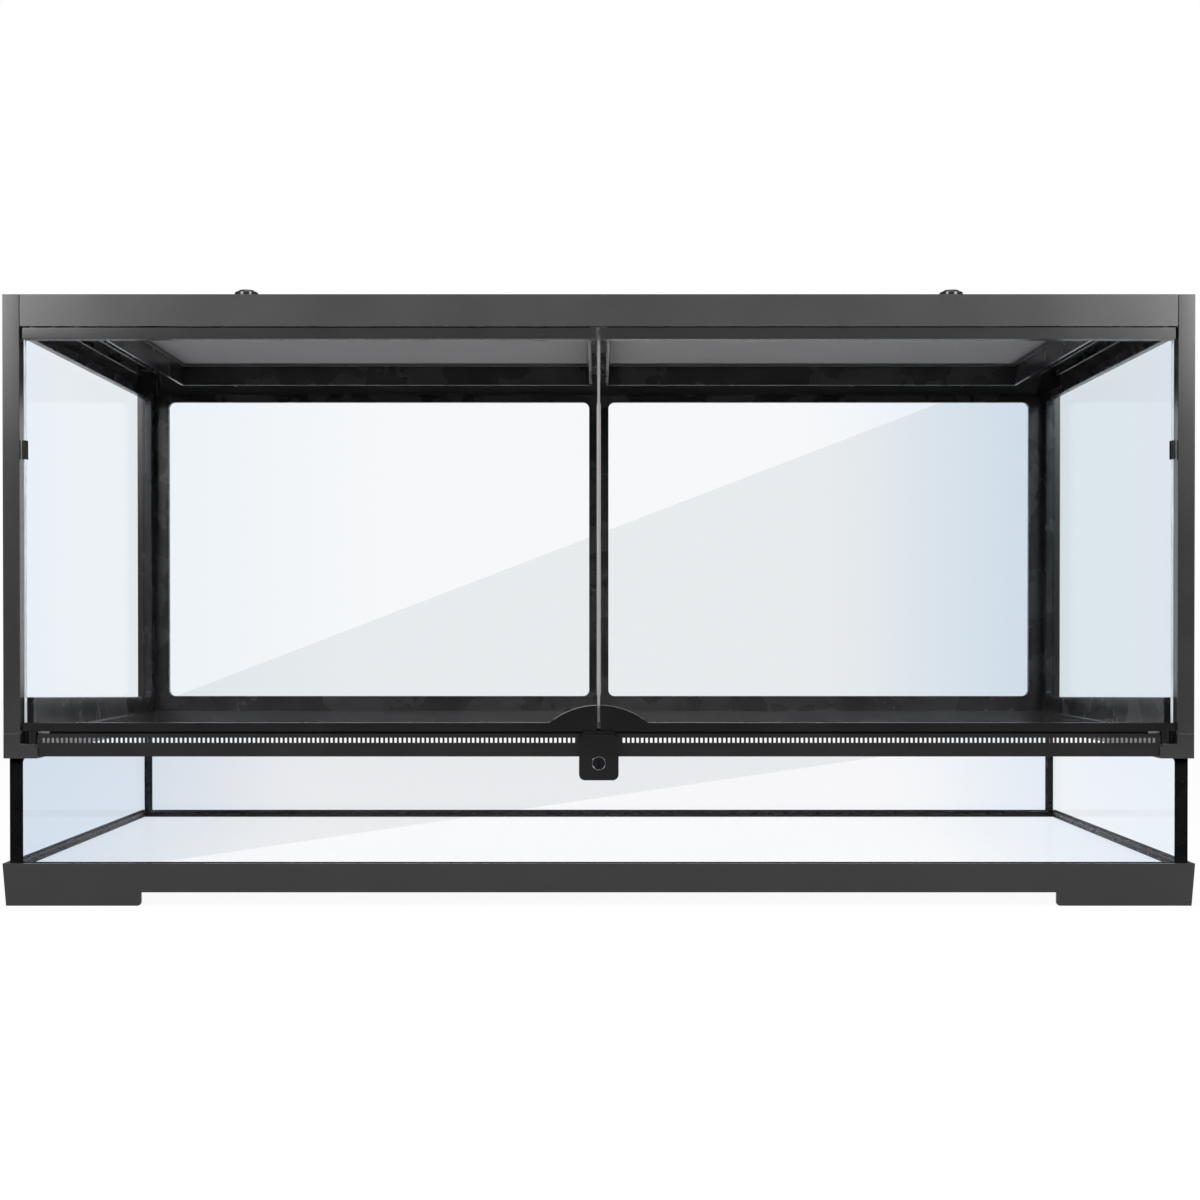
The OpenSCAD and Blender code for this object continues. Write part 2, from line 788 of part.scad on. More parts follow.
// Top frame: a tray turned upside down, with two stepped seats for the screens.
module top_frame() {
    color(plastic) difference() {
        union() {
            difference() {
                translate([0, 0, rail_z]) linear_extrude(rail_h) top_plan(0);
                translate([0, 0, rail_z - past]) linear_extrude(rail_h - deck_t + past)
                    top_plan(deck_t);
            }
            both_hands() {
                seat_block(deck_t - lip_w, rail_z, seat_z);
                seat_block(deck_t, seat_z - deck_t, height);
                deck_ribs();
            }
        }
        both_hands() {
            // Screen seat, and the opening under it
            seat_block(0, seat_z, height + past);
            seat_block(-lip_w, rail_z - past, height);
            // Bore of the knob
            translate([-knob_x, knob_y, deck_z - past])
                cylinder(h = deck_t + 2 * past, r = knob_stem_r + run_gap);
            // Cable inlet
            translate([-inlet_x, inlet_y, deck_z - past]) linear_extrude(deck_t + 2 * past)
                round_rect([-inlet_len / 2, -inlet_w / 2], [inlet_len / 2, inlet_w / 2], inlet_r);
            // Seat of the upper hinge pin
            translate([-hinge_x, hinge_y, rail_z - past])
                cylinder(h = pin_top_root + past, r = pin_r);
        }
    }
}

// Four hinge pins: two stand in the brackets and two hang in the top frame.
module hinge_pins() {
    color(steel) both_hands() translate([-hinge_x, hinge_y, 0]) {
        translate([0, 0, step_z - pin_root])
            cylinder(h = pin_tip_z - fit_gap - step_z + pin_root, r = pin_r);
        translate([0, 0, pane_z1 + 2 * fit_gap])
            cylinder(h = rail_z + pin_top_root - pane_z1 - 2 * fit_gap, r = pin_r);
    }
}

// Door pane, held in the grooves of the two strips.
module left_door_glass() {
    color(clear_glass)
        block([-door_edge, hinge_y - door_pane_t / 2, pane_z0],
              [-door_gap / 2, hinge_y + door_pane_t / 2, pane_z1]);
}

// Groove for the pane, with a little room on each side.
module pane_groove(z0, z1) {
    half = door_pane_t / 2 + groove_gap;
    block([-door_edge - past, hinge_y - half, z0], [0, hinge_y + half, z1]);
}

// Strip along the top of the left door, with the bore of the upper pin.
module left_door_top_strip() {
    color(plastic) difference() {
        block([-door_edge, door_front, door_z1 - top_strip_h],
              [-door_gap / 2, door_front + strip_t, door_z1]);
        pane_groove(door_z1 - top_strip_h - past, pane_z1);
        translate([-hinge_x, hinge_y, pane_z1 - past])
            cylinder(h = door_z1 - pane_z1 + 2 * past, r = pin_r + run_gap);
    }
}

// Strip along the foot of the left door, with half of the finger arch and the
// barrel that turns on the lower pin.
module left_door_foot_strip() {
    arch_r = (arch_w * arch_w + arch_rise * arch_rise) / (2 * arch_rise);
    strip_top = door_z0 + foot_strip_h;
    color(dark_plastic) difference() {
        union() {
            block([-door_edge, door_front, door_z0], [-door_gap / 2, door_front + strip_t, strip_top]);
            along_y(door_front, hinge_y) intersection() {
                translate([0, strip_top + arch_rise - arch_r]) circle(arch_r, $fn = 96);
                translate([-arch_w, door_z0]) square([arch_w - door_gap / 2, foot_strip_h + arch_rise]);
            }
            translate([-hinge_x, hinge_y, barrel_z]) cylinder(h = door_z0 - barrel_z, r = barrel_r);
        }
        pane_groove(pane_z0, strip_top + arch_rise + past);
        translate([-hinge_x, hinge_y, barrel_z - past])
            cylinder(h = pin_tip_z - barrel_z + past, r = pin_r + run_gap);
    }
}

// Spacer clip that straddles the hinge edge of the left pane.
module left_door_clip() {
    top = door_z1 - clip_drop;
    color(dark_plastic) difference() {
        block([-door_edge - clip_t, hinge_y - door_pane_t / 2 - clip_t, top - clip_h],
              [-door_edge + clip_reach, hinge_y + door_pane_t / 2 + clip_t, top]);
        block([-door_edge, hinge_y - door_pane_t / 2, top - clip_h - past],
              [0, hinge_y + door_pane_t / 2, top + past]);
    }
}

// Seal on the meeting edge of the left door. It closes the gap between the doors.
module door_seal() {
    color(clear_glass)
        translate([0, 0, door_z0 + foot_strip_h]) linear_extrude(door_z1 - door_z0 - foot_strip_h)
            round_rect([-door_gap / 2, hinge_y - seal_t / 2],
                       [door_gap / 2 - seal_gap, hinge_y + seal_t / 2], seal_r);
}

module right_door_glass() {
    right_hand() left_door_glass();
}

module right_door_top_strip() {
    right_hand() left_door_top_strip();
}

module right_door_foot_strip() {
    right_hand() left_door_foot_strip();
}

module right_door_clip() {
    right_hand() left_door_clip();
}

// Lock body, fixed on the front of the air strip. The bolt slides up through
// its neck, in front of both doors.
module lock_housing() {
    bottom = ring_top - lock_drop;
    body_top = ring_top - shoulder_drop;
    color(dark_plastic) difference() {
        along_y(lock_front, strip_front) {
            round_rect([-lock_w / 2, bottom], [lock_w / 2, body_top], lock_r);
            translate([-lock_w / 2, key_z]) square([lock_w, body_top - shoulder_r - key_z]);
            translate([-neck_w / 2, key_z]) square([neck_w, neck_top - key_z]);
        }
        // Channel of the bolt, open at the top
        block([-bolt_w / 2 - fit_gap, bolt_front - fit_gap, pin_z - bolt_foot - past],
              [bolt_w / 2 + fit_gap, bolt_back + groove_gap, neck_top + past]);
        // Bore of the key cylinder
        translate([0, lock_front - past, key_z]) rotate([-90, 0, 0])
            cylinder(h = bolt_front - lock_front + past, r = key_r + run_gap);
        // The neck is only as deep as the bolt and its walls
        block([-lock_w / 2, lock_front - past, body_top],
              [lock_w / 2, bolt_front - neck_wall, neck_top + past]);
    }
}

// Key cylinder with its key slot, and the crank pin on its tail.
module lock_cylinder() {
    color(steel) {
        difference() {
            translate([0, lock_front + key_recess, key_z]) rotate([-90, 0, 0])
                cylinder(h = bolt_front - fit_gap - lock_front - key_recess, r = key_r);
            block([-key_slot_w / 2, lock_front, key_z - key_slot_len / 2],
                  [key_slot_w / 2, lock_front + key_recess + key_slot_d, key_z + key_slot_len / 2]);
        }
        translate([crank_arm * cos(45), bolt_front - fit_gap - past, pin_z])
            rotate([-90, 0, 0]) cylinder(h = bolt_t + past, r = crank_r);
    }
}

// Bolt: a flat plate that the crank pin lifts by its cross slot.
module lock_bolt() {
    slot_half = crank_r + fit_gap;
    color(steel) difference() {
        block([-bolt_w / 2, bolt_front, pin_z - bolt_foot], [bolt_w / 2, bolt_back, bolt_rest_top]);
        along_y(bolt_front - past, bolt_back + past) round_rect(
            [crank_arm * cos(45) - slot_half, pin_z - slot_half],
            [crank_arm + slot_half, pin_z + slot_half], slot_half - hair);
    }
}

// Screen frame with a groove for the net all round its opening.
module left_screen_frame() {
    middle = seat_z + screen_h / 2;
    color(plastic) difference() {
        seat_block(-screen_gap, seat_z, height);
        seat_block(-screen_gap - screen_bar_w, seat_z - past, height + past);
        seat_block(-screen_gap - screen_bar_w / 2, middle - net_t / 2 - groove_gap,
                   middle + net_t / 2 + groove_gap);
    }
}

// Screen net: a woven sheet, drawn with wide gaps.
module left_screen_net() {
    middle = seat_z + screen_h / 2;
    edge = screen_gap + screen_bar_w / 2 + fit_gap;
    bar = screen_bar_w / 2 - fit_gap;
    x0 = -seat_x1 + edge + bar;
    y0 = seat_y0 + edge + bar;
    dx = (seat_x1 - seat_x0 - 2 * (edge + bar) + wire_w) / net_columns;
    dy = (seat_y1 - seat_y0 - 2 * (edge + bar) + wire_w) / net_rows;
    color(net_grey) difference() {
        seat_block(-edge, middle - net_t / 2, middle + net_t / 2);
        for (i = [0 : net_columns - 1], j = [0 : net_rows - 1])
            translate([x0 + i * dx, y0 + j * dy, middle - net_t])
                cube([dx - wire_w, dy - wire_w, 2 * net_t]);
    }
}

module right_screen_frame() {
    right_hand() left_screen_frame();
}

module right_screen_net() {
    right_hand() left_screen_net();
}

// Turn knob with a flat side. Turned a quarter, its round side holds the screen.
module left_screen_knob() {
    low = height + fit_gap;
    grip_r = knob_r - knob_ledge_w;
    snap_r = knob_stem_r + snap_w;
    color(dark_plastic) translate([-knob_x, knob_y, 0]) {
        difference() {
            translate([0, 0, low]) rotate_extrude() polygon([
                [0, 0], [knob_r - knob_bevel, 0], [knob_r, knob_bevel],
                [knob_r, knob_rim_h - knob_bevel], [knob_r - knob_bevel, knob_rim_h],
                [grip_r, knob_rim_h], [grip_r - knob_bevel, knob_h - knob_bevel],
                [grip_r - 2 * knob_bevel, knob_h], [0, knob_h]]);
            translate([-knob_r - past, knob_flat, height]) cube([2 * (knob_r + past), knob_r, 2 * knob_h]);
        }
        // Stem, with the foot that snaps in under the deck
        translate([0, 0, deck_z - deck_t]) {
            cylinder(h = low - deck_z + deck_t, r = knob_stem_r);
            rotate_extrude() polygon([
                [0, 0], [snap_r - 2 * snap_w, 0], [snap_r, deck_t - 2 * fit_gap],
                [snap_r, deck_t - fit_gap], [0, deck_t - fit_gap]]);
        }
    }
}

module right_screen_knob() {
    right_hand() left_screen_knob();
}

// Shutter under a cable inlet, with a nub for the finger.
module left_inlet_shutter() {
    nub_end = -inlet_len / 2 + nub_len - nub_gap;
    color(dark_plastic) translate([-inlet_x, inlet_y, shutter_z]) {
        block([-shutter_half, -inlet_w / 2 - shutter_lap, 0],
              [shutter_half, inlet_w / 2 + shutter_lap, shutter_t]);
        block([-inlet_len / 2 + nub_gap, -inlet_w / 2 + inlet_r, 0],
              [nub_end, inlet_w / 2 - inlet_r, shutter_t + fit_gap + deck_t]);
    }
}

module right_inlet_shutter() {
    right_hand() left_inlet_shutter();
}

base_frame();
floor_glass();
tank_front_glass();
tank_back_glass();
tank_left_glass();
tank_right_glass();
tank_seals();
mid_frame();
vent_strip();
sill_rib();
left_bracket();
right_bracket();
front_left_post();
front_right_post();
rear_left_post();
rear_right_post();
left_window_frame();
right_window_frame();
back_window_frame();
left_window_glass();
right_window_glass();
back_left_glass();
back_right_glass();
top_frame();
hinge_pins();
left_door_glass();
left_door_top_strip();
left_door_foot_strip();
left_door_clip();
door_seal();
right_door_glass();
right_door_top_strip();
right_door_foot_strip();
right_door_clip();
lock_housing();
lock_cylinder();
lock_bolt();
left_screen_frame();
left_screen_net();
right_screen_frame();
right_screen_net();
left_screen_knob();
right_screen_knob();
left_inlet_shutter();
right_inlet_shutter();
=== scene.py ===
"""Looks of a front-opening glass terrarium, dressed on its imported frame.

Every sub-assembly is a class that builds its pieces from the frame's own boxes and
gives them their finish. Lengths are in metres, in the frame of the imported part.
"""
import logging
from dataclasses import dataclass
from enum import Enum
from math import pi, radians

import bpy
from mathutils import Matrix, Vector


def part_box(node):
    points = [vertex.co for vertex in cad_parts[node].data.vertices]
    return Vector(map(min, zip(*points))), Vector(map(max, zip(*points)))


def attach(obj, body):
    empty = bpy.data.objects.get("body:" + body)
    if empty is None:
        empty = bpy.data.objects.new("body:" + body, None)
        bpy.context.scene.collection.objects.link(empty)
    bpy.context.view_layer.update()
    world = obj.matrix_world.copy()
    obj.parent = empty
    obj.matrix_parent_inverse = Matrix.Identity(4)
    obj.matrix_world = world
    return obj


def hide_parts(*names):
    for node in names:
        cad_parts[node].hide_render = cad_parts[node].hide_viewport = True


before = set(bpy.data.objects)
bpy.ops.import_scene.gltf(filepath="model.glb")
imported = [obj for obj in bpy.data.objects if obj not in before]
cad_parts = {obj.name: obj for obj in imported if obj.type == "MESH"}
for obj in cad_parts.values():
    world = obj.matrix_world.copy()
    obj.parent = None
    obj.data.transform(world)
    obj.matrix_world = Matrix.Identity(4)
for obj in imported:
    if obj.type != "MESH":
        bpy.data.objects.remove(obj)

logging.basicConfig(level=logging.INFO, format="%(message)s")
log = logging.getLogger("terrarium")

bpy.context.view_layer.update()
MM = 0.001
# Points nearer than this become one, and faces within this angle become one flat face.
MERGE_MM = 0.01
FLAT_DEG = 0.5
# Edges over the first angle are rounded, and those over the second are shaded sharp.
SHARP_DEG = 38.0
SMOOTH_DEG = 40.0
# A rounding looks up and to the front, and gets the painted highlight, where its normal passes
# both of these.
HIGHLIGHT_UP = 0.2
HIGHLIGHT_FORWARD = -0.5


class Side(Enum):
    """The two hands of the pieces that come in pairs."""

    LEFT = -1
    RIGHT = 1

    @property
    def word(self) -> str:
        """The word that piece names start with."""
        return self.name.lower()


# ---------------------------------------------------------------- small helpers


def linear(colour: str) -> tuple[float, float, float, float]:
    """Turns an sRGB hex colour to linear light.

    Args:
        colour: Six hex digits, with or without the leading sign.

    Returns:
        Red, green, blue and an alpha of 1.
    """
    digits = colour.lstrip("#")
    parts = [int(digits[i : i + 2], 16) / 255 for i in (0, 2, 4)]
    return (*[p / 12.92 if p <= 0.04045 else ((p + 0.055) / 1.055) ** 2.4 for p in parts], 1.0)


def add_node(tree: bpy.types.NodeTree, kind: str, settings: dict | None = None,
             links: dict | None = None) -> bpy.types.Node:
    """Adds a node with its settings and links.

    Args:
        tree: Node tree that gets the node.
        kind: Blender's name of the node type.
        settings: Property names or input names (or numbers) and their values.
        links: Input names or numbers, and the output sockets that feed them.

    Returns:
        The new node.
    """
    node = tree.nodes.new(kind)
    for key, value in (settings or {}).items():
        if isinstance(key, int) or key in node.inputs:
            node.inputs[key].default_value = value
        else:
            setattr(node, key, value)
    for key, socket in (links or {}).items():
        tree.links.new(socket, node.inputs[key])
    return node


def new_material(name: str) -> bpy.types.Material:
    """Makes an empty node material of that name."""
    material = bpy.data.materials.new(name)
    material.use_nodes = True
    material.node_tree.nodes.clear()
    return material


def noise(tree: bpy.types.NodeTree, grain_mm: float, detail: float = 2.0,
          stretch: tuple[float, float, float] = (1, 1, 1)) -> bpy.types.NodeSocket:
    """Adds noise of a real grain size on Object coordinates.

    Args:
        tree: Node tree of the material.
        grain_mm: Size of one grain in millimetres.
        detail: Octaves of finer noise.
        stretch: Share of the scale along each axis, under 1 where grains are long.

    Returns:
        The noise's value socket, from 0 to 1.
    """
    place = add_node(tree, "ShaderNodeTexCoord")
    scaled = add_node(tree, "ShaderNodeMapping", {"Scale": stretch},
                      {"Vector": place.outputs["Object"]})
    grains = add_node(tree, "ShaderNodeTexNoise", {"Scale": 1 / (grain_mm * MM), "Detail": detail},
                      {"Vector": scaled.outputs[0]})
    return grains.outputs["Fac"]


def spread(tree: bpy.types.NodeTree, value: bpy.types.NodeSocket, low: float, high: float,
           start: float = 0.3, end: float = 0.7) -> bpy.types.NodeSocket:
    """Maps a pattern's middle range onto a range of values.

    Args:
        tree: Node tree of the material.
        value: Socket that holds the pattern.
        low: Value where the pattern is at or under start.
        high: Value where the pattern is at or over end.
        start: Lower end of the pattern's range.
        end: Upper end of the pattern's range.

    Returns:
        The mapped value's socket.
    """
    mapped = add_node(tree, "ShaderNodeMapRange",
                      {"From Min": start, "From Max": end, "To Min": low, "To Max": high},
                      {"Value": value})
    return mapped.outputs[0]


# ---------------------------------------------------------------- finishes


@dataclass(frozen=True)
class MouldedPlastic:
    """Black moulded ABS: a dark body colour, a spark-eroded grain and a soft gloss."""

    name: str
    colour: str
    worn_colour: str
    gloss_low: float
    gloss_high: float
    grain_mm: float
    grain_height_mm: float
    cloud_mm: float = 70.0
    ior: float = 1.53
    mirror: float = 0.5
    wear_from: float = 0.4
    wear_to: float = 0.75
    bump: float = 0.6

    def material(self) -> bpy.types.Material:
        """Builds the plastic: clouds of handling marks over a fine moulded grain."""
        material = new_material(self.name)
        tree = material.node_tree
        clouds = noise(tree, self.cloud_mm, 4.0)
        grain = noise(tree, self.grain_mm, 2.0)
        tint = add_node(tree, "ShaderNodeMix",
                        {"data_type": "RGBA", 6: linear(self.colour), 7: linear(self.worn_colour)},
                        {0: spread(tree, clouds, 0.0, 1.0, self.wear_from, self.wear_to)})
        bump = add_node(tree, "ShaderNodeBump",
                        {"Strength": self.bump, "Distance": self.grain_height_mm * MM},
                        {"Height": grain})
        shader = add_node(tree, "ShaderNodeBsdfPrincipled",
                          {"IOR": self.ior, "Specular IOR Level": self.mirror}, {
            "Base Color": tint.outputs[2],
            "Roughness": spread(tree, clouds, self.gloss_low, self.gloss_high),
            "Normal": bump.outputs[0]})
        add_node(tree, "ShaderNodeOutputMaterial", links={"Surface": shader.outputs[0]})
        return material


@dataclass(frozen=True)
class ShineLine:
    """Slanting line across a pane where a painted sheen ends, and the painted shade beside it."""

    foot_m: tuple[float, float]
    head_m: tuple[float, float]
    shade: str
    shade_above: bool = False
    soft_mm: float = 0.5

    def shaded(self, tree: bpy.types.NodeTree, axes: bpy.types.Node,
               colour: bpy.types.NodeSocket) -> bpy.types.NodeSocket:
        """Greys the pane on the shaded side of the line, as painted shade.

        Args:
            tree: Node tree of the material.
            axes: Node that holds the place's X, Y and Z.
            colour: Socket of the pane's own colour.

        Returns:
            The socket of the shaded colour.
        """
        slope = (self.head_m[1] - self.foot_m[1]) / (self.head_m[0] - self.foot_m[0])
        level = self.foot_m[1] - slope * self.foot_m[0]
        rise = add_node(tree, "ShaderNodeMath", {"operation": "MULTIPLY_ADD", 1: slope, 2: level},
                        {0: axes.outputs["X"]})
        under = add_node(tree, "ShaderNodeMath", {"operation": "SUBTRACT"},
                         {0: rise.outputs[0], 1: axes.outputs["Z"]})
        low, high = (1.0, 0.0) if self.shade_above else (0.0, 1.0)
        share = spread(tree, under.outputs[0], low, high, -self.soft_mm * MM, self.soft_mm * MM)
        mixed = add_node(tree, "ShaderNodeMix", {"data_type": "RGBA", "blend_type": "MULTIPLY",
                                                 7: linear(self.shade)}, {0: share, 6: colour})
        return mixed.outputs[2]


@dataclass(frozen=True)
class FloatGlass:
    """Clear float glass with a bloomed surface: see-through, with a faint cold tint.

    The IOR is that of the bloomed surface, which mirrors far less than bare glass, so
    that no second picture of the frames lies over the panes. The tint deepens from one
    place to another along one axis, towards the ends of a wide pane, as a painted sheen.
    """

    name: str
    clear: str
    painted_end_sheen: str
    end_from_m: float = 0.25
    end_to_m: float = 0.6
    axis: str = "X"
    line: ShineLine | None = None
    ior: float = 1.04

    def material(self) -> bpy.types.Material:
        """Builds the glass, which lets the lamps' light pass to what is behind it."""
        material = new_material(self.name)
        tree = material.node_tree
        place = add_node(tree, "ShaderNodeTexCoord")
        axes = add_node(tree, "ShaderNodeSeparateXYZ", links={0: place.outputs["Object"]})
        along = axes.outputs[self.axis]
        if self.axis == "X":
            size = add_node(tree, "ShaderNodeMath", {"operation": "ABSOLUTE"}, {0: along})
            along = size.outputs[0]
        ends = add_node(tree, "ShaderNodeMapRange",
                        {"interpolation_type": "SMOOTHSTEP", "From Min": self.end_from_m,
                         "From Max": self.end_to_m}, {"Value": along})
        tint = add_node(tree, "ShaderNodeMix",
                        {"data_type": "RGBA", 6: linear(self.clear), 7: linear(self.painted_end_sheen)},
                        {0: ends.outputs[0]})
        colour = tint.outputs[2]
        if self.line:
            colour = self.line.shaded(tree, axes, colour)
        glass = add_node(tree, "ShaderNodeBsdfPrincipled",
                         {"Roughness": 0.0, "IOR": self.ior, "Transmission Weight": 1.0},
                         {"Base Color": colour})
        face = add_node(tree, "ShaderNodeGamma", {"Gamma": 0.5}, {"Color": colour})
        through = add_node(tree, "ShaderNodeBsdfTransparent", links={"Color": face.outputs[0]})
        rays = add_node(tree, "ShaderNodeLightPath")
        mix = add_node(tree, "ShaderNodeMixShader", links={
            0: rays.outputs["Is Shadow Ray"], 1: glass.outputs[0], 2: through.outputs[0]})
        add_node(tree, "ShaderNodeOutputMaterial", links={"Surface": mix.outputs[0]})
        return material


@dataclass(frozen=True)
class ClearPlastic:
    """Soft clear PVC of a push-on seal: milky, with a smooth extruded skin."""

    name: str = "clear_soft_pvc"
    colour: str = "#b1aca8"
    line_colour: str = "#98938f"
    line_mm: float = 1.5
    stretch: tuple[float, float, float] = (1, 1, 0.02)
    clearness: float = 0.45
    roughness: float = 0.3
    ior: float = 1.53

    def material(self) -> bpy.types.Material:
        """Builds the plastic, with the faint lines of the extruder along it."""
        material = new_material(self.name)
        tree = material.node_tree
        lines = noise(tree, self.line_mm, 2.0, self.stretch)
        tint = add_node(tree, "ShaderNodeMix",
                        {"data_type": "RGBA", 6: linear(self.colour), 7: linear(self.line_colour)},
                        {0: spread(tree, lines, 0.0, 1.0)})
        shader = add_node(tree, "ShaderNodeBsdfPrincipled",
                          {"Roughness": self.roughness, "IOR": self.ior,
                           "Transmission Weight": self.clearness},
                          {"Base Color": tint.outputs[2]})
        add_node(tree, "ShaderNodeOutputMaterial", links={"Surface": shader.outputs[0]})
        return material


@dataclass(frozen=True)
class GroundEdge:
    """Ground and polished edge of float glass: a pale satin line round the clear pane."""

    name: str = "polished_glass_edge"
    colour: str = "#a9aeb0"
    streak_colour: str = "#c9cfd1"
    streak_mm: float = 2.0
    stretch: tuple[float, float, float] = (1, 1, 0.05)
    roughness: float = 0.22
    ior: float = 1.5

    def material(self) -> bpy.types.Material:
        """Builds the edge, with the faint streaks that the grinding belt leaves."""
        material = new_material(self.name)
        tree = material.node_tree
        streaks = noise(tree, self.streak_mm, 2.0, self.stretch)
        tint = add_node(tree, "ShaderNodeMix",
                        {"data_type": "RGBA", 6: linear(self.colour),
                         7: linear(self.streak_colour)},
                        {0: spread(tree, streaks, 0.0, 1.0)})
        shader = add_node(tree, "ShaderNodeBsdfPrincipled",
                          {"Roughness": self.roughness, "IOR": self.ior},
                          {"Base Color": tint.outputs[2]})
        add_node(tree, "ShaderNodeOutputMaterial", links={"Surface": shader.outputs[0]})
        return material


@dataclass(frozen=True)
class Silicone:
    """Black silicone sealant: wet-looking, with the slight waves of a tooled bead."""

    name: str = "black_silicone"
    colour: str = "#171617"
    roughness: float = 0.24
    duller_by: float = 0.12
    ior: float = 1.41
    mirror: float = 0.25
    wave_mm: float = 14.0
    wave_height_mm: float = 0.25

    def material(self) -> bpy.types.Material:
        """Builds the sealant."""
        material = new_material(self.name)
        tree = material.node_tree
        waves = noise(tree, self.wave_mm, 1.0)
        bump = add_node(tree, "ShaderNodeBump",
                        {"Strength": 0.5, "Distance": self.wave_height_mm * MM}, {"Height": waves})
        shader = add_node(tree, "ShaderNodeBsdfPrincipled",
                          {"Base Color": linear(self.colour), "IOR": self.ior,
                           "Specular IOR Level": self.mirror},
                          {"Normal": bump.outputs[0],
                           "Roughness": spread(tree, waves, self.roughness,
                                               self.roughness + self.duller_by)})
        add_node(tree, "ShaderNodeOutputMaterial", links={"Surface": shader.outputs[0]})
        return material


@dataclass(frozen=True)
class Metal:
    """Plain metal: drawn or plated, with fine lines along one axis."""

    name: str
    colour: str
    roughness: float
    line_mm: float = 0.6
    stretch: tuple[float, float, float] = (1, 1, 0.04)
    line_depth_mm: float = 0.02
    duller_by: float = 0.1

    def material(self) -> bpy.types.Material:
        """Builds the metal, with its drawing or turning lines in the gloss."""
        material = new_material(self.name)
        tree = material.node_tree
        lines = noise(tree, self.line_mm, 3.0, self.stretch)
        bump = add_node(tree, "ShaderNodeBump",
                        {"Strength": 0.3, "Distance": self.line_depth_mm * MM}, {"Height": lines})
        shader = add_node(tree, "ShaderNodeBsdfPrincipled",
                          {"Base Color": linear(self.colour), "Metallic": 1.0},
                          {"Normal": bump.outputs[0],
                           "Roughness": spread(tree, lines, self.roughness,
                                               self.roughness + self.duller_by)})
        add_node(tree, "ShaderNodeOutputMaterial", links={"Surface": shader.outputs[0]})
        return material


@dataclass(frozen=True)
class CoatedWire:
    """Powder-coated wire, with the orange peel of baked powder. Its dull grey is painted light,
    for the light through and on a black net.
    """

    name: str = "powder_coated_wire"
    colour: str = "#636162"
    peak_colour: str = "#747273"
    roughness: float = 0.42
    peel_mm: float = 0.7
    peel_height_mm: float = 0.04

    def material(self) -> bpy.types.Material:
        """Builds the coating."""
        material = new_material(self.name)
        tree = material.node_tree
        peel = noise(tree, self.peel_mm, 1.0)
        bump = add_node(tree, "ShaderNodeBump",
                        {"Strength": 0.4, "Distance": self.peel_height_mm * MM}, {"Height": peel})
        tint = add_node(tree, "ShaderNodeMix",
                        {"data_type": "RGBA", 6: linear(self.colour), 7: linear(self.peak_colour)},
                        {0: spread(tree, peel, 0.0, 1.0)})
        shader = add_node(tree, "ShaderNodeBsdfPrincipled", {"Roughness": self.roughness},
                          {"Base Color": tint.outputs[2], "Normal": bump.outputs[0]})
        add_node(tree, "ShaderNodeOutputMaterial", links={"Surface": shader.outputs[0]})
        return material


# Outside of the top: satin charcoal, so that the lamps spread over it.
SATIN = MouldedPlastic("satin_black_abs", "#373637", "#3a393a", 0.22, 0.25, 0.9, 0.02).material()
# Deck of the top and screen frames: coarsely grained, so that the lamps leave no bright patch.
DECK = MouldedPlastic("grained_black_abs", "#2b2a2b", "#302f30", 0.44, 0.5, 0.9, 0.035,
                      mirror=0.28).material()
# Base: a duller charcoal, because its sides lean back and mirror the floor in front.
BASE = MouldedPlastic("base_satin_black_abs", "#242324", "#272627", 0.3, 0.34, 0.9, 0.02,
                      mirror=0.3).material()
# Posts, mid frame and door heads: the same grain in a deeper black.
DEEP_SATIN = MouldedPlastic("deep_satin_black_abs", "#232223", "#272627", 0.2, 0.23, 0.9,
                            0.015).material()
# Air strip and shutters: polished in the mould, so dark and clean-edged.
POLISHED = MouldedPlastic("polished_black_abs", "#131213", "#191819", 0.18, 0.26, 1.6, 0.008,
                          mirror=0.34).material()
# Foot strips, clips and lock: the blackest, so that they stand out from the strip behind.
DEEP_BLACK = MouldedPlastic("deep_black_abs", "#0d0c0d", "#121112", 0.2, 0.28, 1.6, 0.008,
                            mirror=0.22).material()
# Upper rounding of the finger arch: painted pale as a painted highlight, so it draws a thin line.
PAINTED_HIGHLIGHT = MouldedPlastic("black_abs_painted_highlight", "#7c7a7b", "#868485", 0.2, 0.26, 1.6, 0.004,
                        mirror=0.8).material()
# Window frames and the inside of the top: a darker copy as painted shade for the inside of the
# cage, and dulled by handling, so in faint clouds.
INNER_PAINTED_SHADE = MouldedPlastic("handled_black_abs_painted_shade", "#151415", "#232223", 0.2, 0.34, 1.6, 0.008,
                       mirror=0.24).material()
# Panes of the lower tank: a painted blue sheen at the ends.
TANK_GLASS = FloatGlass("tank_float_glass", "#fcfcfd", "#eef4fa", 0.35).material()
# Floor pane: looked at along its face, so it is bloomed the most.
FLOOR_GLASS = FloatGlass("floor_float_glass", "#fafbfc", "#e9f1f9", 0.3, ior=1.004).material()
# Front pane of the tank: the same, and a painted shade greyer above a slanting line where a
# painted sheen ends.
FRONT_GLASS = FloatGlass("tank_front_float_glass", "#fcfcfd", "#eef4fa", 0.3,
                         line=ShineLine((-0.439, 0.044), (0.284, 0.15), "#f1f2f3",
                                        shade_above=True)).material()
# Short panes of the tank: a painted blue sheen, the left one stronger.
SHORT_GLASS = {
    Side.LEFT: FloatGlass("left_tank_float_glass", "#f6faff", "#f2f8ff").material(),
    Side.RIGHT: FloatGlass("right_tank_float_glass", "#ffffff", "#fdfeff").material()}
# Side windows: cold, with a painted blue sheen bluest next to the doors. The right one is painted
# greyer, as the shaded half of the painted sheen.
SIDE_GLASS = {
    Side.LEFT: FloatGlass("left_side_float_glass", "#f1f5f9", "#edf3fa",
                          end_from_m=-0.08, end_to_m=-0.27, axis="Y").material(),
    Side.RIGHT: FloatGlass("right_side_float_glass", "#e1eaee", "#e2e9f1",
                           end_from_m=-0.08, end_to_m=-0.27, axis="Y").material()}
